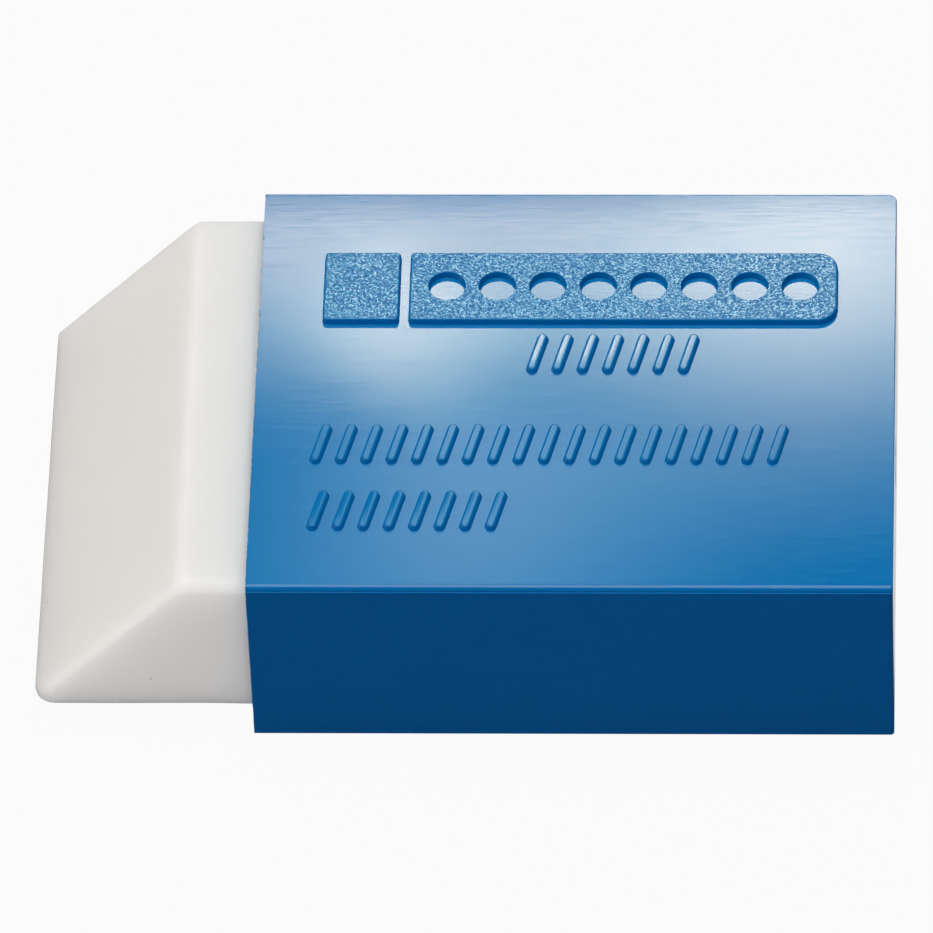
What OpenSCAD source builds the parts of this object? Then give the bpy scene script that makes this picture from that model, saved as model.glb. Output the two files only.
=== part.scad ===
/* [Holder] */
// Length of the holder, from its open mouth to its closed end
holder_len = 43; // [30:0.5:60]
// Width of the holder, across the face that it lies on
holder_w = 35.5; // [24:0.5:50]
// Height of the holder
holder_h = 15; // [11:0.5:24]
// Thickness of the holder's walls and of its closed end
wall = 1.2; // [0.8:0.1:2]
// Radius of the holder's two upper long edges
top_edge_r = 0.4; // [0.2:0.1:0.8]
// Radius of the holder's two lower long edges
lower_edge_r = 0.15; // [0.1:0.05:0.8]
// Radius of the edges above and below the flat of the closed end
end_edge_r = 0.15; // [0.1:0.05:0.8]
// Radius of the closed end's upright corners, seen from above
end_corner_r = 0.6; // [0.3:0.1:1.1]

/* [Rubber block] */
// How far the block stands out of the mouth when it is pushed right in
block_out = 14.8; // [11.5:0.2:20]
// Length of the bevel, measured along the block
bevel_len = 10.2; // [6:0.2:10.8]
// Height of the blunt tip that the bevel leaves
tip_h = 0.9; // [0.7:0.1:2]
// Radius of the block's long edges and of the bevel's side edges
block_edge_r = 0.5; // [0.3:0.1:1.4]
// Radius where the bevel turns into the level top
shoulder_r = 1; // [0.5:0.1:3]
// Radius of the tip's two corners, seen from above
tip_corner_r = 0.8; // [0.5:0.1:3]
// Radius along the upper and lower edge of the blunt tip
tip_edge_r = 0.3; // [0.1:0.05:0.3]

/* [Fit] */
// Gap between the block and each wall of the holder
slide_gap = 0.1; // [0.05:0.05:0.3]

/* [Raised panel] */
// Height of the raised panel and of the short pad beside it above the top face
panel_height = 0.5; // [0.2:0.1:0.8]
// Width of the panel and the pad, across the holder
panel_w = 6.2; // [4:0.2:9]
// Distance from the holder's back edge to the panel
panel_from_back = 5.8; // [2:0.2:10]
// Distance from the closed end to the panel
panel_from_end = 3.9; // [2:0.1:8]
// Radius of the panel's two corners near the closed end
panel_r = 1.4; // [0.5:0.1:2]
// Distance from the mouth to the pad
pad_from_mouth = 4.3; // [2:0.1:8]
// Length of the pad
pad_len = 5.2; // [3:0.2:8]
// Gap between the pad and the panel
pad_gap = 0.6; // [0.4:0.1:2]
// Number of round dimples that go through the panel to the top face
dimple_count = 8; // [3:1:9]
// Diameter of each dimple
dimple_d = 2.4; // [1:0.1:2.8]

/* [Grip strokes] */
// Number of strokes in the row next to the panel
upper_count = 7; // [2:1:12]
// Distance from the mouth to the first stroke of that row
upper_from_mouth = 18.9; // [8:0.1:24]
// Distance from the panel to the middle of that row
upper_from_panel = 2.7; // [2.2:0.1:3]
// Number of strokes in the middle row
middle_count = 19; // [4:1:20]
// Distance from the panel to the middle of the middle row
middle_from_panel = 10.8; // [8:0.2:11]
// Number of strokes in the front row
front_count = 8; // [2:1:20]
// Distance between the middle row and the front row
row_pitch = 5.9; // [4.4:0.1:6]
// Distance from the mouth to the first stroke of the middle and front rows
rows_from_mouth = 4.6; // [3:0.1:8]
// Distance between strokes along the holder
stroke_pitch = 1.7; // [1.2:0.1:1.8]
// Length of each stroke
stroke_len = 3.4; // [2:0.1:4]
// Width of each stroke
stroke_w = 0.7; // [0.4:0.05:0.9]
// Lean of each stroke from square across the holder, in degrees
stroke_lean = 14; // [0:1:20]
// Height of each stroke above the top face
stroke_height = 0.4; // [0.2:0.05:0.6]

/* [Gate mark] */
// Diameter of the shallow dish that the moulding gate leaves on the closed end
gate_dish_d = 3.6; // [2:0.2:6]
// Depth of that dish
gate_dish_depth = 0.25; // [0.1:0.05:0.4]
// Diameter of the broken gate inside the dish
gate_d = 1.1; // [0.6:0.1:1.5]

/* [Hidden] */
$fn = 64;
// Overshoot of a cut past the face that it opens
cut = 1;
// How far a raised mark is rooted in the wall below it
root = 0.5;

// The part stands on z = 0, with x = 0 and y = 0 at the middle of its length and width
total_len = holder_len + block_out;
tip_x = -total_len / 2;
mouth_x = tip_x + block_out;
end_x = total_len / 2;
top_z = holder_h;

// The cavity is the holder less its walls, and the block is the cavity less the gap
cavity_w = holder_w - 2 * wall;
cavity_h = holder_h - 2 * wall;
cavity_len = holder_len - wall;
cavity_r = block_edge_r + slide_gap;
block_w = cavity_w - 2 * slide_gap;
block_h = cavity_h - 2 * slide_gap;
block_z = wall + slide_gap;
block_len = block_out + cavity_len - slide_gap;

// The bevel falls from the level top to the top of the blunt tip
bevel_drop = block_h - tip_h;
bevel_angle = atan(bevel_drop / bevel_len);
bevel_slope_len = bevel_drop / sin(bevel_angle);

// The pad is set off from the mouth and the panel from the closed end, with a gap between
pad_x = mouth_x + pad_from_mouth;
panel_x = pad_x + pad_len + pad_gap;
panel_len = end_x - panel_from_end - panel_x;
panel_mid_y = holder_w / 2 - panel_from_back - panel_w / 2;
panel_front_y = panel_mid_y - panel_w / 2;
dimple_pitch = panel_len / (dimple_count + 0.5);

// A rectangle centred on the origin with four round corners
module round_rect(w, h, r) {
    square([w - 2 * r, h], center = true);
    square([w, h - 2 * r], center = true);
    for (sx = [-1, 1], sy = [-1, 1])
        translate([sx * (w / 2 - r), sy * (h / 2 - r)]) circle(r);
}

// The case's section, on y = 0, with a larger radius at its two upper corners
module case_section(w, h, top_r, low_r) {
    polygon([
        [w / 2 - low_r, 0], [w / 2, low_r], [w / 2, h - top_r], [w / 2 - top_r, h],
        [top_r - w / 2, h], [-w / 2, h - top_r], [-w / 2, low_r], [low_r - w / 2, 0],
    ]);
    for (side = [1, -1]) {
        translate([side * (w / 2 - low_r), low_r]) circle(low_r);
        translate([side * (w / 2 - top_r), h - top_r]) circle(top_r);
    }
}

// A strip that starts square at x = 0 and has two round corners at its far end
module one_round_end(length, h, r) {
    translate([0, -h / 2]) square([length - r, h]);
    translate([length - 2 * r, -h / 2 + r]) square([2 * r, h - 2 * r]);
    for (side = [-1, 1])
        translate([length - r, side * (h / 2 - r)]) circle(r);
}

// A bar of a given length that lies along +x from x = 0, with its outline in y and z
module along_x(length) {
    rotate([90, 0, 90]) linear_extrude(length) children();
}

// A slab whose outline is in x and z, centred on y = 0
module across_y(width) {
    rotate([90, 0, 0]) linear_extrude(width, center = true) children();
}

// Outer skin of the holder: its section, its side view and its plan all round its edges
module holder_outside() {
    intersection() {
        translate([mouth_x, 0, 0])
            along_x(holder_len) case_section(holder_w, holder_h, top_edge_r, lower_edge_r);
        translate([mouth_x, 0, holder_h / 2])
            across_y(holder_w) one_round_end(holder_len, holder_h, end_edge_r);
        translate([mouth_x, 0, 0])
            linear_extrude(holder_h) one_round_end(holder_len, holder_w, end_corner_r);
    }
}

// The socket that the block slides in, open at the mouth
module holder_cavity() {
    translate([mouth_x - cut, 0, holder_h / 2])
        along_x(cavity_len + cut) round_rect(cavity_w, cavity_h, cavity_r);
}

// Raised label panel with a row of round dimples, and the short pad beside it
module raised_panel() {
    translate([0, panel_mid_y, top_z - root])
        linear_extrude(root + panel_height) {
            translate([pad_x, -panel_w / 2]) square([pad_len, panel_w]);
            translate([panel_x, 0])
                difference() {
                    one_round_end(panel_len, panel_w, panel_r);
                    for (i = [0 : dimple_count - 1])
                        translate([panel_len / 2 + (i - (dimple_count - 1) / 2) * dimple_pitch, 0])
                            circle(d = dimple_d);
                }
        }
}

// One leaning stroke with round ends
module stroke() {
    straight = stroke_len - stroke_w;
    rotate(-stroke_lean) {
        square([stroke_w, straight], center = true);
        for (end = [-1, 1])
            translate([0, end * straight / 2]) circle(d = stroke_w, $fn = 24);
    }
}

// A row of raised strokes, from the middle of its first one
module stroke_row(count, x, y) {
    for (i = [0 : count - 1])
        translate([x + i * stroke_pitch, y, top_z - root])
            linear_extrude(root + stroke_height) stroke();
}

// Three rows of raised strokes on the top face, which the fingers grip by
module grip_strokes() {
    middle_y = panel_front_y - middle_from_panel;
    stroke_row(upper_count, mouth_x + upper_from_mouth, panel_front_y - upper_from_panel);
    stroke_row(middle_count, mouth_x + rows_from_mouth, middle_y);
    stroke_row(front_count, mouth_x + rows_from_mouth, middle_y - row_pitch);
}

// Dish on the closed end, with the broken gate standing in it
module gate_dish() {
    translate([end_x - gate_dish_depth, 0, holder_h / 2])
        along_x(gate_dish_depth + cut)
            difference() {
                circle(d = gate_dish_d);
                circle(d = gate_d);
            }
}

// Stiff moulded case, open at one end
module holder() {
    color([0.0, 0.42, 0.66]) {
        difference() {
            holder_outside();
            holder_cavity();
            gate_dish();
        }
        raised_panel();
        grip_strokes();
    }
}

// Side view of the block with its tip at x = 0 and its underside at y = 0
module block_side() {
    // Where the shoulder's arc meets the bevel and the top, and the arc's centre
    shoulder_run = shoulder_r * tan(bevel_angle / 2);
    shoulder_mid = [bevel_len + shoulder_run, block_h - shoulder_r];
    bevel_meet = shoulder_mid + shoulder_r * [-sin(bevel_angle), cos(bevel_angle)];
    // The same for the arc between the bevel and the blunt tip
    brow_run = tip_edge_r * tan((90 - bevel_angle) / 2);
    brow_mid = [tip_edge_r, tip_h - brow_run];
    brow_meet = brow_mid + tip_edge_r * [-sin(bevel_angle), cos(bevel_angle)];
    polygon([
        [tip_edge_r, 0],
        [block_len, 0],
        [block_len, block_h],
        [shoulder_mid[0], block_h],
        bevel_meet,
        brow_meet,
        [0, brow_mid[1]],
        [0, tip_edge_r],
    ]);
    translate(shoulder_mid) circle(shoulder_r);
    translate(brow_mid) circle(tip_edge_r);
    translate([tip_edge_r, tip_edge_r]) circle(tip_edge_r);
}

// Bar that lies along the bevel and rounds the bevel's two side edges
module bevel_bar() {
    reach = block_len + block_h;
    translate([0, 0, tip_h])
        rotate([0, -bevel_angle, 0])
            translate([-reach / 2, 0, -reach / 2])
                along_x(2 * reach) round_rect(block_w, reach, block_edge_r);
}

// Soft rubbing block, bevelled over its full width at the end that rubs
module eraser_block() {
    color([0.93, 0.93, 0.92])
        translate([tip_x, 0, block_z])
            intersection() {
                across_y(block_w) block_side();
                translate([0, 0, block_h / 2])
                    along_x(block_len) round_rect(block_w, block_h, block_edge_r);
                translate([block_len, 0, 0]) mirror([1, 0, 0])
                    linear_extrude(block_h) one_round_end(block_len, block_w, tip_corner_r);
                bevel_bar();
            }
}

holder();
eraser_block();
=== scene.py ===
import math
import random

import bmesh
import bpy
from mathutils import Matrix, Vector, noise


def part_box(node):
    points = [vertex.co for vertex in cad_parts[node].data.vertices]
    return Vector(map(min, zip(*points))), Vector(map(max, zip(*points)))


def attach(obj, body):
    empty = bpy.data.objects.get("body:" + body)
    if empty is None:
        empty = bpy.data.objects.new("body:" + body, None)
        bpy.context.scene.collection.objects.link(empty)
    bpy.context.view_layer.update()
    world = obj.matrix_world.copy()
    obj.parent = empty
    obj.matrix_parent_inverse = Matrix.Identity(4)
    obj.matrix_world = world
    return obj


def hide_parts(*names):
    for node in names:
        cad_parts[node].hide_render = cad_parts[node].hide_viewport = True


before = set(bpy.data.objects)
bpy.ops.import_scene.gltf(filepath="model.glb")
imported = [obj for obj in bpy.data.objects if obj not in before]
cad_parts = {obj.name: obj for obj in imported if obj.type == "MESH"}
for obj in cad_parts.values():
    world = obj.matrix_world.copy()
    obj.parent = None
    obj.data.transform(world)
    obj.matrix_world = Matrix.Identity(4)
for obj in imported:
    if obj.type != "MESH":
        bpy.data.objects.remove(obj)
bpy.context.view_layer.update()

# Rubber block
# A slab of soft white vinyl, cut to length and bevelled over its full width at the
# rubbing end. Handling has left its edges soft, and light goes a little way into it.

MM = 0.001
block_low, block_high = (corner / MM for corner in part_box("eraser_block"))
holder_low, holder_high = (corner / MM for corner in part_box("holder"))
TIP_X = block_low.x
MOUTH_X = holder_low.x
BLOCK_LEN = block_high.x - block_low.x
BLOCK_W = block_high.y - block_low.y
BLOCK_H = block_high.z - block_low.z
BEVEL_LEN = 10.2
TIP_H = 0.9
BLOCK_EDGE_R = 0.5
BLOCK_FRONT_R = 0.9
BLOCK_BACK_R = 0.2
SHOULDER_R = 1.1
TIP_FRONT_R = 1.4
TIP_BACK_R = 0.2
TIP_EDGE_R = 0.3
BEVEL_ANGLE = math.atan2(BLOCK_H - TIP_H, BEVEL_LEN)
BLOCK_WAVE = 0.05
BLOCK_WAVE_PITCH = 5.0
BLOCK_WAVE_FADE = 2.0

# How its mesh is divided: sections lie closer together where the block shows than inside the
# holder, and near the thin tip a long edge's radius keeps to a share of the height.
ARC_STEP = 15
STATION_PITCH = 0.3
HIDDEN_FROM = 14.5
HIDDEN_PITCH = 1.5
CLOSEST_STATIONS = 0.001
BLOCK_WIDTH_STEPS = 44
BLOCK_HEIGHT_STEPS = 14
BLOCK_CORNER_STEPS = 8
BLOCK_SHARP_TURN = 40
RADIUS_SHARE = 0.46


def arc_drop(run, radius):
    """How far a quarter round of that radius has fallen, run mm before its end."""
    if run >= radius:
        return 0.0
    return radius - math.sqrt(radius ** 2 - (radius - run) ** 2)


def block_top(x):
    """Height of the block above its underside, x mm from the tip."""
    shoulder_x = BEVEL_LEN + SHOULDER_R * math.tan(BEVEL_ANGLE / 2)
    brow_z = TIP_H - TIP_EDGE_R * math.tan((math.pi / 2 - BEVEL_ANGLE) / 2)
    if x < TIP_EDGE_R * (1 - math.sin(BEVEL_ANGLE)):
        return brow_z + math.sqrt(max(0.0, TIP_EDGE_R ** 2 - (TIP_EDGE_R - x) ** 2))
    if x < shoulder_x - SHOULDER_R * math.sin(BEVEL_ANGLE):
        return TIP_H + x * math.tan(BEVEL_ANGLE)
    if x < shoulder_x:
        return BLOCK_H - SHOULDER_R + math.sqrt(SHOULDER_R ** 2 - (shoulder_x - x) ** 2)
    return BLOCK_H


def round_section(sides, ends, radii, width_steps, height_steps, corner_steps, ledge=0.0, lean=0.0):
    """Points (y, z) around a rectangle with round corners, anticlockwise from its lower right.

    A ledge draws all above the upper corners' lower ends in, and leaves a step there that
    leans inwards by that many degrees."""
    mids = [(sides[1] - radii[0], ends[0] + radii[0]),
            (sides[1] - radii[1] - ledge, ends[1] - radii[1]),
            (sides[0] + radii[2] + ledge, ends[1] - radii[2]),
            (sides[0] + radii[3], ends[0] + radii[3])]
    corners = []
    for corner, (y, z) in enumerate(mids):
        steps = corner_steps - 1 if ledge and corner in (1, 2) else corner_steps
        turns = [math.radians(90 * (corner - 1 + step / steps)) for step in range(steps + 1)]
        radius = radii[corner]
        corners.append([(y + radius * math.cos(t), z + radius * math.sin(t)) for t in turns])
    if ledge:
        rise = ledge * math.tan(math.radians(lean))
        corners[1].insert(0, (sides[1], mids[1][1] + rise))
        corners[2].append((sides[0], mids[2][1] + rise))
    points = []
    for corner, arc in enumerate(corners):
        here, there = arc[-1], corners[(corner + 1) % 4][0]
        steps = height_steps if corner % 2 == 0 else width_steps
        points += arc
        points += [(here[0] + (there[0] - here[0]) * step / steps,
                    here[1] + (there[1] - here[1]) * step / steps) for step in range(1, steps)]
    return points


def block_stations():
    """Distances from the tip at which the block is given a section, closest on its curves."""
    turns = [math.radians(angle) for angle in range(0, 91, ARC_STEP)]
    corners = [r * (1 - math.cos(turn)) for r in (TIP_FRONT_R, TIP_BACK_R) for turn in turns]
    brow = [TIP_EDGE_R * (1 - math.cos(turn)) for turn in turns[1:-1]]
    shown_count = int((HIDDEN_FROM - TIP_FRONT_R) / STATION_PITCH)
    shown = [TIP_FRONT_R + STATION_PITCH * i for i in range(1, shown_count + 1)]
    hidden_count = int((BLOCK_LEN - HIDDEN_FROM) / HIDDEN_PITCH)
    hidden = [HIDDEN_FROM + HIDDEN_PITCH * i for i in range(hidden_count)]
    stations = sorted(set(corners + brow + shown + hidden + [BLOCK_LEN]))
    return [x for x, before in zip(stations, [-1.0] + stations) if x - before > CLOSEST_STATIONS]


def join_rings(bm, near, far):
    """A band of faces between two rings that have the same number of points."""
    for i in range(len(near)):
        j = (i + 1) % len(near)
        bm.faces.new((near[i], near[j], far[j], far[i]))


def new_piece(name, bm, material):
    """A finished object at the origin, from a mesh drawn in millimetres."""
    mesh = bpy.data.meshes.new(name)
    bm.transform(Matrix.Scale(MM, 4))
    bm.to_mesh(mesh)
    bm.free()
    mesh.materials.append(material)
    piece = bpy.data.objects.new(name, mesh)
    bpy.context.scene.collection.objects.link(piece)
    return piece


def block_mesh():
    """Sections from the tip to the hidden end, with a slight waviness out of the mouth."""
    bm = bmesh.new()
    rings = []
    for x in block_stations():
        sides = (arc_drop(x, TIP_FRONT_R) - BLOCK_W / 2, BLOCK_W / 2 - arc_drop(x, TIP_BACK_R))
        low = arc_drop(x, TIP_EDGE_R)
        high = block_top(x)
        radii = [min(radius, RADIUS_SHARE * (high - low)) for radius in (
            BLOCK_EDGE_R, BLOCK_BACK_R, BLOCK_FRONT_R, BLOCK_EDGE_R)]
        ring = round_section(
            sides, (low, high), radii, BLOCK_WIDTH_STEPS, BLOCK_HEIGHT_STEPS, BLOCK_CORNER_STEPS)
        rings.append([bm.verts.new((TIP_X + x, y, block_low.z + z)) for y, z in ring])
    for near, far in zip(rings, rings[1:]):
        join_rings(bm, near, far)
    bm.faces.new(rings[0])
    bm.faces.new(rings[-1])
    bmesh.ops.recalc_face_normals(bm, faces=bm.faces)
    bm.normal_update()
    inward = {}
    for vert in bm.verts:
        out = MOUTH_X - vert.co.x
        fade = min(1.0, max(0.0, out / BLOCK_WAVE_FADE))
        wave = noise.noise(vert.co / BLOCK_WAVE_PITCH) * 0.5 + 0.5
        inward[vert] = vert.normal * (-BLOCK_WAVE * wave * fade)
    for vert, step in inward.items():
        vert.co += step
    for face in bm.faces:
        face.smooth = True
    for edge in bm.edges:
        edge.smooth = edge.calc_face_angle(0.0) < math.radians(BLOCK_SHARP_TURN)
    return bm


def rgb(hex_code):
    """Linear colour, with alpha, of an sRGB hex code."""
    parts = [int(hex_code[i:i + 2], 16) / 255 for i in (1, 3, 5)]
    return [p / 12.92 if p < 0.04045 else ((p + 0.055) / 1.055) ** 2.4 for p in parts] + [1.0]


def add_node(tree, kind, links=None, **settings):
    """A node with its settings; links gives each input a value, a node or a node's socket."""
    node = tree.nodes.new(kind)
    for key, value in settings.items():
        setattr(node, key, value)
    for key, value in (links or {}).items():
        if isinstance(value, bpy.types.Node):
            value = value.outputs[0]
        if isinstance(value, bpy.types.NodeSocket):
            tree.links.new(value, node.inputs[key])
        else:
            node.inputs[key].default_value = value
    return node


def new_material(name):
    """An empty node material, with its tree, its surface shader and the object's coordinates."""
    material = bpy.data.materials.new(name)
    material.use_nodes = True
    tree = material.node_tree
    tree.nodes.clear()
    shader = add_node(tree, "ShaderNodeBsdfPrincipled")
    add_node(tree, "ShaderNodeOutputMaterial", {"Surface": shader.outputs[0]})
    place = add_node(tree, "ShaderNodeTexCoord").outputs["Object"]
    return material, tree, shader, place


def per_mm(size, stretch=(1, 1, 1)):
    """Mapping scale for a pattern whose lumps are size mm across, drawn out by stretch."""
    return [1 / (size * MM * s) for s in stretch]


def white_vinyl():
    """Plasticised PVC, moulded matt: milky, a little translucent, with stray specks of dust."""
    material, tree, shader, place = new_material("white vinyl")
    wide = add_node(tree, "ShaderNodeMapping", {"Vector": place, "Scale": per_mm(6.0)})
    cloud = add_node(tree, "ShaderNodeTexNoise", {"Vector": wide, "Scale": 1.0})
    body = add_node(tree, "ShaderNodeMix", {
        0: cloud, 6: rgb("#ECECEB"), 7: rgb("#E8E7E5")}, data_type="RGBA").outputs[2]
    # One speck in each cell of 3.4 mm, 0.04 mm in radius with a soft edge up to 0.08 mm
    dust = add_node(tree, "ShaderNodeTexVoronoi", {
        "Vector": place, "Scale": 1 / (3.4 * MM)}, feature="F1")
    speck = add_node(tree, "ShaderNodeMapRange", {
        "Value": dust, "From Min": 0.012, "From Max": 0.024, "To Min": 1.0, "To Max": 0.0})
    colour = add_node(tree, "ShaderNodeMix", {
        0: speck, 6: body, 7: rgb("#9B968E")}, data_type="RGBA").outputs[2]
    tree.links.new(colour, shader.inputs["Base Color"])
    shader.inputs["Subsurface Weight"].default_value = 1.0
    shader.inputs["Subsurface Radius"].default_value = (1.0, 0.98, 0.94)
    shader.inputs["Subsurface Scale"].default_value = 4.4 * MM
    shader.inputs["IOR"].default_value = 1.5
    close = add_node(tree, "ShaderNodeMapping", {"Vector": place, "Scale": per_mm(0.35)})
    skin = add_node(tree, "ShaderNodeTexNoise", {"Vector": close, "Scale": 1.0, "Detail": 3.0})
    matt = add_node(tree, "ShaderNodeMapRange", {
        "Value": skin, "From Min": 0.3, "From Max": 0.7, "To Min": 0.6, "To Max": 0.75})
    tree.links.new(matt.outputs[0], shader.inputs["Roughness"])
    bump = add_node(tree, "ShaderNodeBump", {
        "Height": skin, "Strength": 0.25, "Distance": 0.012 * MM})
    tree.links.new(bump.outputs[0], shader.inputs["Normal"])
    return material


block = new_piece("rubber_block", block_mesh(), white_vinyl())
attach(block, "block")
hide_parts("eraser_block")

# Holder
# One injection-moulded case of glossy blue plastic, open at the mouth. The mould's halves
# leave a fine ledge where they meet, just below the top face, and the mouth has the sharp,
# nicked rim of a parted edge.

HOLDER_LEN = holder_high.x - holder_low.x
HOLDER_W = holder_high.y - holder_low.y
PANEL_HEIGHT = 0.5
HOLDER_H = holder_high.z - holder_low.z - PANEL_HEIGHT
WALL = 1.2
TOP_EDGE_R = 0.4
LOWER_EDGE_R = 0.15
LEDGE = 0.06
LEDGE_LEAN = 1.7
TOP_BACK_R = 0.12
END_EDGE_R = 0.06
END_BACK_R = 0.6
END_FRONT_R = 0.25
CAVITY_R = 0.6
RIM_UNEVEN = 0.1
RIM_TOP_DEPTH = 0.3
RIM_SOUND_SHARE = 0.3
RIM_SEED = 4
SOFT_EDGE = 0.07
SOFT_EDGE_STEPS = 3
SHARP_TURN = 50
RIM_WIDTH_STEPS = 140
RIM_HEIGHT_STEPS = 24
CORNER_STEPS = 7


def holder_shell():
    """Outside and cavity as one skin, whose rim has small nicks."""
    bm = bmesh.new()
    gaps = {round(r * (1 - math.cos(math.radians(angle))), 3)
            for r in (END_BACK_R, END_FRONT_R, END_EDGE_R) for angle in range(0, 91, ARC_STEP)}
    outside = [HOLDER_LEN - gap for gap in sorted(gaps, reverse=True)]

    def ring(x, points):
        return [bm.verts.new((MOUTH_X + x, y, z)) for y, z in points]

    def outer(x, steps=(1, 1)):
        left = HOLDER_LEN - x
        sides = (arc_drop(left, END_FRONT_R) - HOLDER_W / 2, HOLDER_W / 2 - arc_drop(left, END_BACK_R))
        flat = arc_drop(left, END_EDGE_R)
        radii = (LOWER_EDGE_R, TOP_BACK_R, TOP_EDGE_R, LOWER_EDGE_R)
        return ring(x, round_section(
            sides, (flat, HOLDER_H - flat), radii, *steps, CORNER_STEPS, LEDGE, LEDGE_LEAN))

    def inner(x, steps=(1, 1)):
        half_w = HOLDER_W / 2 - WALL
        return ring(x, round_section(
            (-half_w, half_w), (WALL, HOLDER_H - WALL), [CAVITY_R] * 4, *steps, CORNER_STEPS))

    def join_rim(rim, far):
        """The rim has more points along each straight side than the ring behind it."""
        position = 0
        corner_points = CORNER_STEPS + 1
        for i in range(len(far)):
            steps = 1
            if i % corner_points == CORNER_STEPS:
                upright = (i // corner_points) % 2 == 0
                steps = RIM_HEIGHT_STEPS if upright else RIM_WIDTH_STEPS
            span = [rim[(position + k) % len(rim)] for k in range(steps + 1)]
            bm.faces.new(span + [far[(i + 1) % len(far)], far[i]])
            position += steps

    steps = (RIM_WIDTH_STEPS, RIM_HEIGHT_STEPS)
    outer_rim, inner_rim = outer(0, steps), inner(0, steps)
    outer_rings = [outer(x) for x in outside]
    inner_end = inner(HOLDER_LEN - WALL)
    join_rings(bm, outer_rim, inner_rim)
    join_rim(outer_rim, outer_rings[0])
    for near, far in zip(outer_rings, outer_rings[1:]):
        join_rings(bm, near, far)
    bm.faces.new(outer_rings[-1])
    join_rim(inner_rim, inner_end)
    bm.faces.new(inner_end)
    # The back half of the rim's upper edge is nicked the most; the cube keeps most nicks small
    draw = random.Random(RIM_SEED)
    for outer_vert, inner_vert in zip(outer_rim, inner_rim):
        nicked = outer_vert.co.z > HOLDER_H - RIM_TOP_DEPTH and outer_vert.co.y > 0
        share = 1.0 if nicked else RIM_SOUND_SHARE
        step = share * RIM_UNEVEN * draw.random() ** 3
        outer_vert.co.x += step
        inner_vert.co.x += step
    bmesh.ops.recalc_face_normals(bm, faces=bm.faces)
    return bm


# Marks on the holder, and its finish
# A raised pad and panel, whose pockets were spark-eroded into the mould so that their tops have
# a sandy grain, with round dimples down to the polished face, and rows of raised strokes. The
# closed end has the dish and the stub where the plastic came in.

PANEL_W = 6.2
PANEL_FROM_BACK = 5.8
PANEL_FROM_END = 3.9
PANEL_R = 1.4
PAD_FROM_MOUTH = 4.3
PAD_LEN = 5.2
PAD_GAP = 0.6
PAD_R = 0.3
DIMPLE_COUNT = 8
DIMPLE_D = 2.4
UPPER_COUNT = 7
UPPER_FROM_MOUTH = 18.9
UPPER_FROM_PANEL = 2.7
MIDDLE_COUNT = 19
MIDDLE_FROM_PANEL = 10.8
FRONT_COUNT = 8
ROW_PITCH = 5.9
ROWS_FROM_MOUTH = 4.6
STROKE_PITCH = 1.7
STROKE_LEN = 3.4
STROKE_W = 0.7
STROKE_LEAN = 14
STROKE_HEIGHT = 0.4
GATE_DISH_D = 3.6
GATE_DISH_DEPTH = 0.25
GATE_D = 1.1

# A mark's solid is rooted in the wall below it, and a cutter runs on past what it cuts
ROOT = 0.5
CUT = 1.0

# The marks' walls, from below. Strokes and dimples: height above the top face, and what is
# added to the mark's size there. Pad and panel: depth below their top, and how far the outline
# is drawn in there, for 8 degrees of draft and a rounded edge.
STROKE_PROFILE = ((-ROOT, 0.12), (0.0, 0.12), (STROKE_HEIGHT - 0.2, 0.0),
                  (STROKE_HEIGHT - 0.07, -0.12), (STROKE_HEIGHT, -0.34))
DIMPLE_PROFILE = ((-ROOT - CUT, -0.06), (0.0, -0.06), (PANEL_HEIGHT - 0.1, 0.04),
                  (PANEL_HEIGHT, 0.16), (PANEL_HEIGHT + CUT, 0.16))
RAISED_PROFILE = ((0.13, 0.05), (0.06, 0.075), (0.017, 0.12), (0.0, 0.18))
RAISED_CORNER_STEPS = 8

# A face counts as level from this z of its normal, and as the ledge's if it is level and this
# near to the ledge's height. Points closer together than the merge distance become one.
LEVEL = 0.9
LEDGE_REACH = 0.25
MERGE_DISTANCE = 0.0005

PAD_X = MOUTH_X + PAD_FROM_MOUTH
PANEL_X = PAD_X + PAD_LEN + PAD_GAP
PANEL_LEN = holder_high.x - PANEL_FROM_END - PANEL_X
PANEL_BACK_Y = HOLDER_W / 2 - PANEL_FROM_BACK
PANEL_FRONT_Y = PANEL_BACK_Y - PANEL_W


def stack_mesh(levels):
    """A closed solid through outlines of (x, y) points, one at each height."""
    bm = bmesh.new()
    rings = [[bm.verts.new((x, y, z)) for x, y in outline] for z, outline in levels]
    bm.faces.new(rings[0])
    bm.faces.new(rings[-1])
    for low, high in zip(rings, rings[1:]):
        join_rings(bm, low, high)
    bmesh.ops.recalc_face_normals(bm, faces=bm.faces)
    return bm


def circle_outline(diameter, steps=45):
    """Points around a circle about the origin."""
    turns = [2 * math.pi * step / steps for step in range(steps)]
    return [(diameter / 2 * math.cos(t), diameter / 2 * math.sin(t)) for t in turns]


def raised_outline(x_near, x_far, far_r, inset):
    """The pad's or panel's outline, drawn in by inset at its drafted walls and soft top edge."""
    points = []
    for x, y, side_x, side_y, r, start in (
            (x_far, PANEL_FRONT_Y, 1, -1, far_r, -90), (x_far, PANEL_BACK_Y, 1, 1, far_r, 0),
            (x_near, PANEL_BACK_Y, -1, 1, PAD_R, 90), (x_near, PANEL_FRONT_Y, -1, -1, PAD_R, 180)):
        for step in range(RAISED_CORNER_STEPS + 1):
            turn = math.radians(start + 90 * step / RAISED_CORNER_STEPS)
            points.append((x - side_x * r + (r - inset) * math.cos(turn),
                           y - side_y * r + (r - inset) * math.sin(turn)))
    return points


def loose_object(name, bm):
    """A working object in millimetres, for the cutting steps alone."""
    mesh = bpy.data.meshes.new(name)
    bm.to_mesh(mesh)
    bm.free()
    made = bpy.data.objects.new(name, mesh)
    bpy.context.scene.collection.objects.link(made)
    return made


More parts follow.
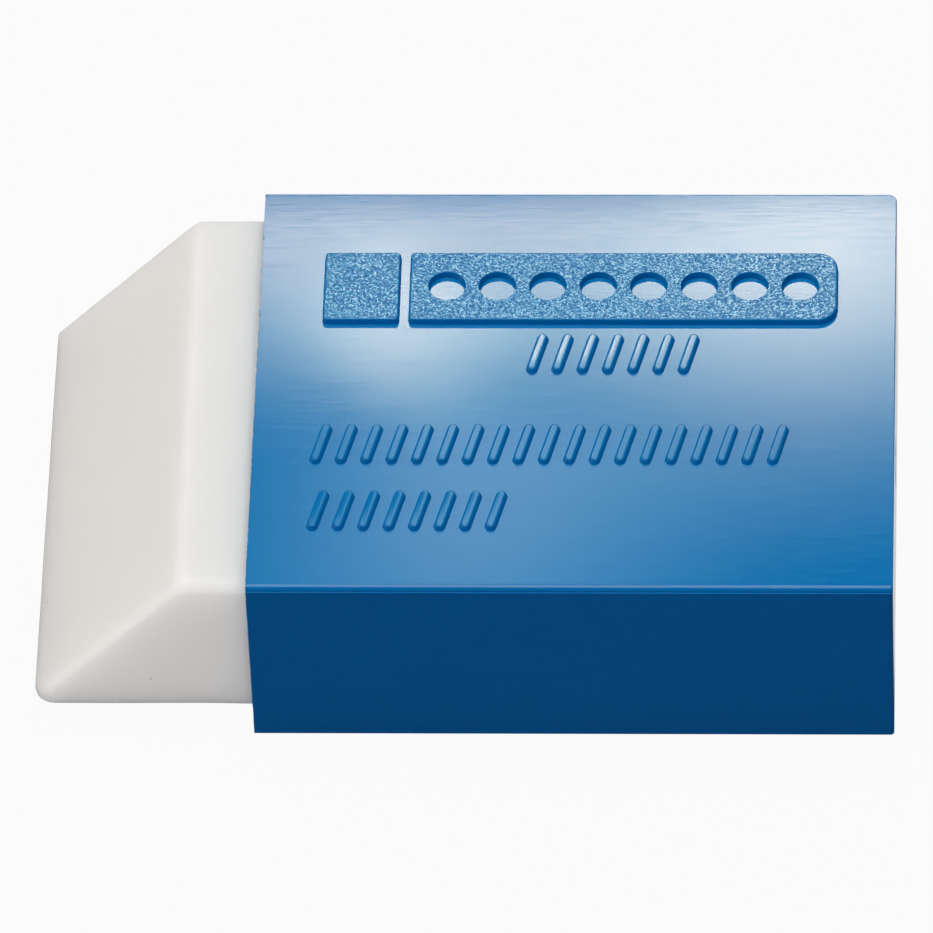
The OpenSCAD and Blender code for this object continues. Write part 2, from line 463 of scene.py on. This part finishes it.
def raised_block(name, x_near, x_far, far_r):
    """The pad or the panel, with drafted walls and a rounded top edge."""
    base, top = HOLDER_H, HOLDER_H + PANEL_HEIGHT
    levels = [(base - ROOT, 0.0), (base, 0.0)]
    levels += [(top - depth, inset) for depth, inset in RAISED_PROFILE]
    return loose_object(name, stack_mesh(
        [(z, raised_outline(x_near, x_far, far_r, inset)) for z, inset in levels]))


def freeze(made):
    """Turns an object's modifiers into a plain mesh."""
    bpy.context.view_layer.update()
    seen = made.evaluated_get(bpy.context.evaluated_depsgraph_get())
    mesh = bpy.data.meshes.new_from_object(seen)
    made.modifiers.clear()
    made.data = mesh
    return made


def settle_normals(mesh):
    """Each point takes the direction of the largest face around it, so that flat faces mirror
    as flat ones and roundings stay smooth; a face turned far away from it keeps its own."""
    directions = [Vector() for _ in mesh.vertices]
    for face in mesh.polygons:
        for index in face.vertices:
            directions[index] += face.normal * face.area ** 2
    corners = []
    for face in mesh.polygons:
        for index in face.vertices:
            direction = directions[index].normalized()
            kept = direction.dot(face.normal) > math.cos(math.radians(SHARP_TURN))
            corners.append(direction if kept else face.normal.copy())
    mesh.normals_split_custom_set(corners)


def combine(body, tool, operation):
    """Adds the tool to the body or cuts it away, with the tool's material where it was."""
    step = body.modifiers.new("combine", "BOOLEAN")
    step.operation = operation
    step.solver = "EXACT"
    step.material_mode = "TRANSFER"
    step.object = tool
    freeze(body)
    bpy.data.objects.remove(tool)


def in_a_row(made, material, count, pitch, lean, first):
    """Repeats an object's mesh along x with Geometry Nodes, leaning each copy."""
    tree = bpy.data.node_groups.new("row of moulded marks", "GeometryNodeTree")
    sockets = tree.interface
    sockets.new_socket("Mark", in_out="INPUT", socket_type="NodeSocketGeometry")
    sizes = {"Count": ("NodeSocketInt", count), "Pitch": ("NodeSocketFloat", pitch),
             "Lean": ("NodeSocketFloat", math.radians(lean)),
             "First": ("NodeSocketVector", first)}
    for name, (kind, value) in sizes.items():
        sockets.new_socket(name, in_out="INPUT", socket_type=kind)
    sockets.new_socket("Marks", in_out="OUTPUT", socket_type="NodeSocketGeometry")
    given = add_node(tree, "NodeGroupInput").outputs
    step = add_node(tree, "ShaderNodeCombineXYZ", {"X": given["Pitch"]})
    line = add_node(tree, "GeometryNodeMeshLine", {
        "Count": given["Count"], "Start Location": given["First"], "Offset": step.outputs[0]})
    turn = add_node(tree, "ShaderNodeCombineXYZ", {"Z": given["Lean"]})
    copies = add_node(tree, "GeometryNodeInstanceOnPoints", {
        "Points": line.outputs[0], "Instance": given["Mark"], "Rotation": turn.outputs[0]})
    solid = add_node(tree, "GeometryNodeRealizeInstances", {"Geometry": copies.outputs[0]})
    painted = add_node(tree, "GeometryNodeSetMaterial", {
        "Geometry": solid.outputs[0], "Material": material})
    add_node(tree, "NodeGroupOutput", {"Marks": painted.outputs[0]})
    rows = made.modifiers.new("rows", "NODES")
    rows.node_group = tree
    for item in tree.interface.items_tree:
        if item.in_out == "INPUT" and item.name in sizes:
            rows[item.identifier] = sizes[item.name][1]
    return freeze(made)


def stadium(width, length, steps=10):
    """Points around an upright slot with round ends."""
    straight = (length - width) / 2
    points = []
    for side in (1, -1):
        for step in range(steps + 1):
            turn = math.radians(90 * (1 - side) + 180 * step / steps)
            points.append((width / 2 * math.cos(turn), side * straight + width / 2 * math.sin(turn)))
    return points


def flowing_blue(tree, place):
    """Blue of the plastic, a little lighter and darker in streams where it flowed in."""
    along = add_node(tree, "ShaderNodeMapping", {
        "Vector": place, "Scale": per_mm(5.0, (3, 1, 1))})
    flow = add_node(tree, "ShaderNodeTexNoise", {"Vector": along, "Scale": 1.0})
    return add_node(tree, "ShaderNodeMix", {
        0: flow, 6: rgb("#0075B8"), 7: rgb("#007ABD")}, data_type="RGBA").outputs[2]


def polished_blue():
    """ABS from a polished mould: glossy, with the mould's fine polishing lines along x, painted a
    paler blue as a painted sheen.
    """
    material, tree, shader, place = new_material("glossy blue ABS")
    shader.inputs["IOR"].default_value = 1.46
    shader.inputs["Specular IOR Level"].default_value = 0.42
    # The lines are drawn 0.11 mm wide, several times as wide as real ones, so that they show
    thin = add_node(tree, "ShaderNodeMapping", {
        "Vector": place, "Scale": per_mm(0.11, (22, 1, 1))})
    lines = add_node(tree, "ShaderNodeTexNoise", {"Vector": thin, "Scale": 1.0, "Detail": 3.0})
    painted_sheen_lines = add_node(tree, "ShaderNodeMapRange", {
        "Value": lines, "From Min": 0.3, "From Max": 0.7, "To Min": 0.0, "To Max": 0.18})
    # Along the polishing lines the blue is painted paler, a painted sheen standing in for the light
    # they catch
    blue = add_node(tree, "ShaderNodeMix", {
        0: painted_sheen_lines, 6: flowing_blue(tree, place), 7: rgb("#0090CC")}, data_type="RGBA").outputs[2]
    tree.links.new(blue, shader.inputs["Base Color"])
    gloss = add_node(tree, "ShaderNodeMapRange", {
        "Value": lines, "From Min": 0.3, "From Max": 0.7, "To Min": 0.03, "To Max": 0.08})
    tree.links.new(gloss.outputs[0], shader.inputs["Roughness"])
    wide = add_node(tree, "ShaderNodeMapping", {
        "Vector": place, "Scale": per_mm(7.0, (2, 1, 1))})
    waves = add_node(tree, "ShaderNodeTexNoise", {"Vector": wide, "Scale": 1.0, "Detail": 3.0})
    slow = add_node(tree, "ShaderNodeBump", {
        "Height": waves, "Strength": 1.0, "Distance": 0.003 * MM})
    fine = add_node(tree, "ShaderNodeBump", {
        "Height": lines, "Strength": 1.0, "Distance": 0.0005 * MM, "Normal": slow})
    tree.links.new(fine.outputs[0], shader.inputs["Normal"])
    return material


def grained_blue():
    """The same ABS against a spark-eroded patch of the mould: an even, sandy, satin grain, whose
    crests are rubbed glossier than the pits. The crests are painted paler and the pits darker, a
    painted sheen of the grain."""
    material, tree, shader, place = new_material("spark eroded blue ABS")
    shader.inputs["IOR"].default_value = 1.46
    shader.inputs["Specular IOR Level"].default_value = 0.42
    # The grain is drawn 0.14 mm across, coarser than the real one, so that it shows
    close = add_node(tree, "ShaderNodeMapping", {"Vector": place, "Scale": per_mm(0.14)})
    grain = add_node(tree, "ShaderNodeTexNoise", {"Vector": close, "Scale": 1.0, "Detail": 1.0})
    crest = add_node(tree, "ShaderNodeMapRange", {
        "Value": grain, "From Min": 0.38, "From Max": 0.62, "To Min": 0.0, "To Max": 1.0})
    rubbed = add_node(tree, "ShaderNodeMapRange", {"Value": crest, "To Min": 0.36, "To Max": 0.07})
    tree.links.new(rubbed.outputs[0], shader.inputs["Roughness"])
    # Painted sheen: the grain's crests are painted a pale blue and its pits a darker blue, over most
    # of the flowing blue
    painted_sheen_grain = add_node(tree, "ShaderNodeMix", {
        0: crest, 6: rgb("#006CAA"), 7: rgb("#26A2DA")}, data_type="RGBA").outputs[2]
    blue = add_node(tree, "ShaderNodeMix", {
        0: 0.85, 6: flowing_blue(tree, place), 7: painted_sheen_grain}, data_type="RGBA").outputs[2]
    tree.links.new(blue, shader.inputs["Base Color"])
    bump = add_node(tree, "ShaderNodeBump", {
        "Height": grain, "Strength": 1.0, "Distance": 0.004 * MM})
    tree.links.new(bump.outputs[0], shader.inputs["Normal"])
    return material


polished = polished_blue()
grained = grained_blue()
case = loose_object("case", holder_shell())
case.data.materials.append(polished)

dish, gate = (
    loose_object(name, stack_mesh([(-GATE_DISH_DEPTH - extra, circle_outline(diameter)),
                                   (CUT + extra, circle_outline(diameter))]))
    for name, diameter, extra in (("dish", GATE_DISH_D, 0.0), ("gate", GATE_D, CUT)))
dish.data.materials.append(polished)
combine(dish, gate, "DIFFERENCE")
dish.data.transform(Matrix.Translation((holder_high.x, 0, HOLDER_H / 2))
                    @ Matrix.Rotation(math.radians(90), 4, "Y"))
combine(case, dish, "DIFFERENCE")

pad = raised_block("pad", PAD_X, PAD_X + PAD_LEN, PAD_R)
panel = raised_block("panel", PANEL_X, PANEL_X + PANEL_LEN, PANEL_R)
for raised in (pad, panel):
    raised.data.materials.append(grained)
    raised.data.materials.append(polished)
    for face in raised.data.polygons:
        face.material_index = 0 if face.normal.z > LEVEL else 1
dimple_pitch = PANEL_LEN / (DIMPLE_COUNT + 0.5)
dimples = loose_object("dimples", stack_mesh(
    [(z, circle_outline(DIMPLE_D + spread)) for z, spread in DIMPLE_PROFILE]))
in_a_row(dimples, polished, DIMPLE_COUNT, dimple_pitch, 0.0, (
    PANEL_X + PANEL_LEN / 2 - (DIMPLE_COUNT - 1) / 2 * dimple_pitch,
    (PANEL_BACK_Y + PANEL_FRONT_Y) / 2, HOLDER_H))
combine(panel, dimples, "DIFFERENCE")
combine(case, pad, "UNION")
combine(case, panel, "UNION")

middle_y = PANEL_FRONT_Y - MIDDLE_FROM_PANEL
for count, from_mouth, y in (
        (UPPER_COUNT, UPPER_FROM_MOUTH, PANEL_FRONT_Y - UPPER_FROM_PANEL),
        (MIDDLE_COUNT, ROWS_FROM_MOUTH, middle_y),
        (FRONT_COUNT, ROWS_FROM_MOUTH, middle_y - ROW_PITCH)):
    strokes = loose_object("strokes", stack_mesh(
        [(z, stadium(STROKE_W + spread, STROKE_LEN + spread)) for z, spread in STROKE_PROFILE]))
    in_a_row(strokes, polished, count, STROKE_PITCH, -STROKE_LEAN,
             (MOUTH_X + from_mouth, y, HOLDER_H))
    combine(case, strokes, "UNION")

# Sharp edges are softened, apart from the ledge's, which is too fine for it
bm = bmesh.new()
bm.from_mesh(case.data)
bmesh.ops.remove_doubles(bm, verts=bm.verts, dist=MERGE_DISTANCE)
ledge_z = HOLDER_H - TOP_EDGE_R
ledge_faces = [face for face in bm.faces if abs(face.normal.z) > LEVEL and all(
    abs(corner.co.z - ledge_z) < LEDGE_REACH for corner in face.verts)]
bevelled = bm.edges.layers.float.new("bevel_weight_edge")
for face in bm.faces:
    face.smooth = True
for edge in bm.edges:
    sharp = edge.calc_face_angle(0.0) > math.radians(SHARP_TURN)
    edge[bevelled] = float(sharp and not any(face in ledge_faces for face in edge.link_faces))
bm.to_mesh(case.data)
bm.free()
soften = case.modifiers.new("soft edges", "BEVEL")
soften.width = SOFT_EDGE
soften.segments = SOFT_EDGE_STEPS
soften.limit_method = "WEIGHT"
holder = freeze(case)
holder.name = holder.data.name = "holder_case"
settle_normals(holder.data)
holder.data.transform(Matrix.Scale(MM, 4))
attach(holder, "holder")
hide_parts("holder")

# Table top
# A plain pale sheet, large enough that its edge is never in view. It lies a hair below the
# holder, so that no two faces are in one plane.

TABLE_REACH = 4000
TABLE_Z = -0.03
TABLE_PALE = 0.95
# The table's glow in gloss: painted shade in front of the holder, painted light behind it, and the y
# in mm where each is full
GLOSS_PAINTED_SHADE = 0.04
GLOSS_PAINTED_LIGHT = 0.7
GLOSS_PAINTED_SHADE_Y = -17
GLOSS_PAINTED_LIGHT_Y = -9


def white_table_top():
    """Matt lacquered board: nearly white to the camera, with the object's faint shadow on it. In gloss
    it glows with painted light graded by y: a painted shade in front of the holder, which keeps that
    side a deep blue, and a painted pale glow beside and behind it."""
    material, tree, shader, place = new_material("white table top")
    shader.inputs["Roughness"].default_value = 0.8
    wide = add_node(tree, "ShaderNodeMapping", {"Vector": place, "Scale": per_mm(40.0)})
    grey = add_node(tree, "ShaderNodeTexNoise", {"Vector": wide, "Scale": 1.0})
    paper = add_node(tree, "ShaderNodeMix", {
        0: grey, 6: rgb("#8E9299"), 7: rgb("#92969D")}, data_type="RGBA").outputs[2]
    tree.links.new(paper, shader.inputs["Base Color"])
    eye = add_node(tree, "ShaderNodeLightPath")
    share = add_node(tree, "ShaderNodeMath", {0: eye.outputs["Is Camera Ray"], 1: TABLE_PALE},
                     operation="MULTIPLY")
    white = add_node(tree, "ShaderNodeEmission", {"Color": rgb("#FFFFFF"), "Strength": 1.0})
    pale = add_node(tree, "ShaderNodeMixShader", {0: share, 1: shader, 2: white})
    # Painted shade and light for glossy rays: an emission graded by y, dark in front of the holder,
    # pale beside and behind it
    far = add_node(tree, "ShaderNodeSeparateXYZ", {0: place}).outputs["Y"]
    mirrored = add_node(tree, "ShaderNodeMapRange", {
        "Value": far, "From Min": GLOSS_PAINTED_SHADE_Y * MM, "From Max": GLOSS_PAINTED_LIGHT_Y * MM,
        "To Min": GLOSS_PAINTED_SHADE, "To Max": GLOSS_PAINTED_LIGHT}, interpolation_type="SMOOTHSTEP")
    shade = add_node(tree, "ShaderNodeEmission", {"Color": rgb("#FFFFFF"), "Strength": mirrored})
    seen = add_node(tree, "ShaderNodeMixShader", {
        0: eye.outputs["Is Glossy Ray"], 1: pale, 2: shade})
    tree.links.new(seen.outputs[0], tree.nodes["Material Output"].inputs["Surface"])
    return material


bm = bmesh.new()
bmesh.ops.create_grid(bm, x_segments=1, y_segments=1, size=TABLE_REACH,
                      matrix=Matrix.Translation((0, 0, TABLE_Z)))
table = new_piece("table_top", bm, white_table_top())

# Camera
# A long lens that looks down on the front at about 49 degrees, turned and rolled a little.
# Its values were fitted to the object's corners in the photograph.

CAM_ELEVATION = math.radians(48.81)
CAM_TURN = math.radians(3.63)
CAM_ROLL = math.radians(-2.63)
CAM_DISTANCE = 888.3
CAM_LENS = 506.8
CAM_AIM = Vector((-0.11, -0.23, 7.31))

back = Vector((math.sin(CAM_TURN) * math.cos(CAM_ELEVATION),
               -math.cos(CAM_TURN) * math.cos(CAM_ELEVATION), math.sin(CAM_ELEVATION)))
right = Vector((math.cos(CAM_TURN), math.sin(CAM_TURN), 0))
up = back.cross(right)
rolled_right = math.cos(CAM_ROLL) * right + math.sin(CAM_ROLL) * up
rolled_up = -math.sin(CAM_ROLL) * right + math.cos(CAM_ROLL) * up
lens = bpy.data.cameras.new("camera")
lens.lens = CAM_LENS
lens.sensor_width = 36
lens.sensor_fit = "HORIZONTAL"
lens.clip_start = 0.01
lens.clip_end = 20
camera = bpy.data.objects.new("camera", lens)
bpy.context.scene.collection.objects.link(camera)
camera.matrix_world = Matrix.Translation((CAM_AIM + back * CAM_DISTANCE) * MM) @ Matrix(
    (rolled_right, rolled_up, back)).transposed().to_4x4()
bpy.context.scene.camera = camera

# Lights
# Soft boxes, as for a small product on a table: level ones behind the object, which its top
# face mirrors, one overhead and a card at the left. Two more cards light the block alone, and
# one lights the holder alone. Where a box dims, its light turns towards the cyan of DIM_TINT,
# as the weak parts of the reflection on the real one do.

DIM_TINT = "#D0FFFF"
CARD_W = 200
CARD_H = 90


def soft_light(name, middle, axes, width, height, radiance, fades=(0, 0, 0, 0), colour="#FFFFFF"):
    """A rectangular lamp; a radiance of 1 looks as bright as white paper.

    Its axes are its own x, y and the way it turns its back. It dims towards its low x, high x,
    low y and high y edges, over the share of its size that fades gives for each."""
    light = bpy.data.lights.new(name, "AREA")
    light.shape = "RECTANGLE"
    light.size = width * MM
    light.size_y = height * MM
    light.energy = radiance * math.pi * width * height * MM * MM
    light.color = rgb(colour)[:3]
    light.use_nodes = True
    tree = light.node_tree
    glow = tree.nodes["Emission"]
    spot = add_node(tree, "ShaderNodeNewGeometry").outputs["Parametric"]
    parts = add_node(tree, "ShaderNodeSeparateXYZ", {0: spot}).outputs
    level = None
    for edge, fade in enumerate(fades):
        if not fade:
            continue
        start, stop = (0.0, fade) if edge % 2 == 0 else (1.0, 1.0 - fade)
        rise = add_node(tree, "ShaderNodeMapRange", {
            "Value": parts[edge // 2], "From Min": start, "From Max": stop},
            interpolation_type="SMOOTHSTEP").outputs[0]
        level = rise if level is None else add_node(
            tree, "ShaderNodeMath", {0: level, 1: rise}, operation="MULTIPLY").outputs[0]
    if level is not None:
        tint = add_node(tree, "ShaderNodeMix", {
            0: level, 6: rgb(DIM_TINT), 7: rgb("#FFFFFF")}, data_type="RGBA").outputs[2]
        tree.links.new(level, glow.inputs["Strength"])
        tree.links.new(tint, glow.inputs["Color"])
    lamp = bpy.data.objects.new(name, light)
    bpy.context.scene.collection.objects.link(lamp)
    lamp.matrix_world = Matrix.Translation(middle * MM) @ Matrix(axes).transposed().to_4x4()
    return lamp


def aimed_light(name, middle, aim, width, height, radiance, colour="#FFFFFF"):
    """A soft light that faces a point."""
    axes = (middle - aim).to_track_quat("Z", "Y").to_matrix().transposed()
    return soft_light(name, middle, axes, width, height, radiance, colour=colour)


def mirrored_light(name, level, x_span, y_span, radiance, fades, turn, colour="#FFFFFF"):
    """A level soft light at that height, which the camera sees mirrored in the top face over
    that stretch of x and y. Its fades are in millimetres there, and its turn is in degrees."""
    eye = CAM_AIM + back * CAM_DISTANCE
    eye.z = 2 * HOLDER_H - eye.z
    grow = (level - eye.z) / (HOLDER_H - eye.z)
    seen = Vector((sum(x_span) / 2, sum(y_span) / 2, HOLDER_H))
    width, height = x_span[1] - x_span[0], y_span[1] - y_span[0]
    shares = (fades[0] / width, fades[1] / width, fades[2] / height, fades[3] / height)
    axes = Matrix.Rotation(math.radians(turn), 3, "Z").transposed()
    return soft_light(name, eye + (seen - eye) * grow, axes, width * grow, height * grow,
                      radiance, shares, colour)


for name, level, x_span, y_span, radiance, fades, turn, colour in (
        ("back box", 310, (-16.8, 41.6), (-5.2, 19), 15.0, (2, 18, 22, 2.6), 1.1, "#FFF1D4"),
        ("back box, right", 316, (-3.6, 69), (-12.8, 29.3), 7.6, (30, 24, 26, 13), 26, "#FFF1D4"),
        ("back box, left", 322, (-14.6, 6.4), (-2.8, 12.4), 10.5, (9, 11.6, 6, 3.5), -34,
         "#FFF1D4"),
        ("glow", 328, (-23, 21), (-38, 2.3), 5.5, (28, 28, 30, 7.4), -15, "#E8F8F4")):
    mirrored_light(name, level, x_span, y_span, radiance, fades, turn, colour)
face_mid = Vector((7, 0, HOLDER_H))
aimed_light("top box", Vector((0, -30, 390)), face_mid, 280, 400, 3.35)
aimed_light("left card", Vector((-380, -60, 170)), face_mid, 240, 240, 2.2, colour="#FFF0DF")
tip = Vector((TIP_X + 7, 0, 7))
for name, piece, middle, radiance, colour in (
        ("block card", block, Vector((-70, -320, 28)), 8.9, "#FFF9F1"),
        ("block card, back", block, Vector((-70, 320, 40)), 6.6, "#FFF9F1"),
        ("holder card", holder, Vector((60, -320, 20)), 1.7, "#3F89FF")):
    card = aimed_light(name, middle, tip, CARD_W, CARD_H, radiance, colour)
    lit = bpy.data.collections.new(f"lit by the {name}")
    lit.objects.link(piece)
    card.light_linking.receiver_collection = lit

# Room
# A dim, slightly blue room for the light and the gloss, and plain white behind the object
# for the camera.

world = bpy.data.worlds.new("pale room")
bpy.context.scene.world = world
world.use_nodes = True
tree = world.node_tree
tree.nodes.clear()
seen = add_node(tree, "ShaderNodeLightPath")
room = add_node(tree, "ShaderNodeBackground", {"Color": rgb("#D8E2F8"), "Strength": 0.1})
paper = add_node(tree, "ShaderNodeBackground", {"Color": rgb("#FFFFFF"), "Strength": 1.0})
choice = add_node(tree, "ShaderNodeMixShader", {
    0: seen.outputs["Is Camera Ray"], 1: room.outputs[0], 2: paper.outputs[0]})
add_node(tree, "ShaderNodeOutputWorld", {"Surface": choice.outputs[0]})

scene = bpy.context.scene
scene.view_settings.view_transform = "Standard"
